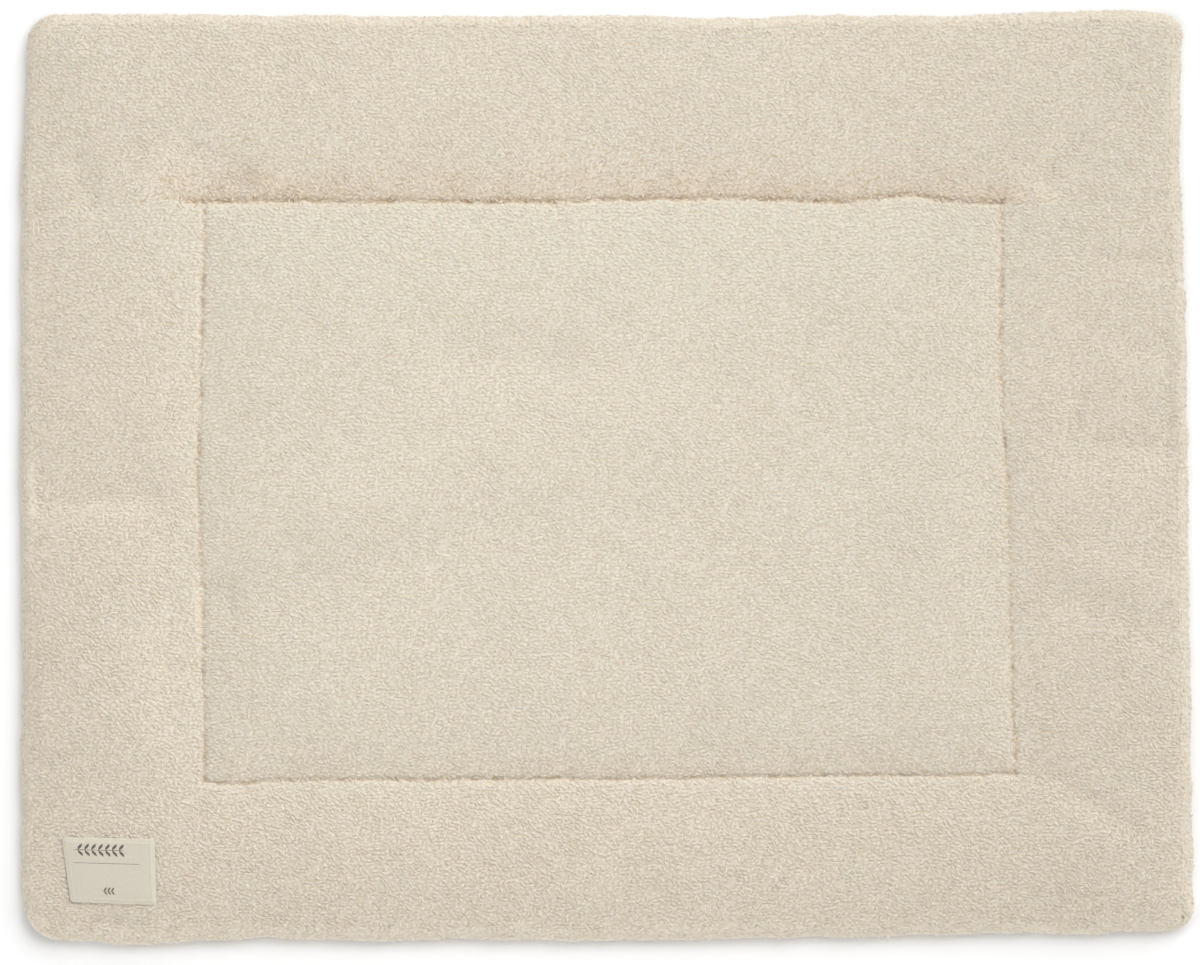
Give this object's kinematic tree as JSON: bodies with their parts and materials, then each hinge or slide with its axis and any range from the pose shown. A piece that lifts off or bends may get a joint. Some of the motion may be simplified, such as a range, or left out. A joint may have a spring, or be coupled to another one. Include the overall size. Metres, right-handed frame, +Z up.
{
  "type": "playpen mat",
  "caption": "Flat padded mat of cream teddy fleece, with a sewn rectangle parting its soft border from its centre panel and a small cloth label.",
  "frame": {"origin": "on the ground, under the middle of the mat's outline", "axes": "+X along the long side, +Y from the front edge, where the label is, to the back edge, +Z up out of the pile"},
  "size_m": [0.9986, 0.7954, 0.0294],
  "materials": {
    "fleece": "short curly pile, matt, cream",
    "label_cloth": "plain woven cotton, matt, off-white"
  },
  "bodies": {
    "root": {"mat": "fleece", "label": "label_cloth"}
  },
  "joints": []
}
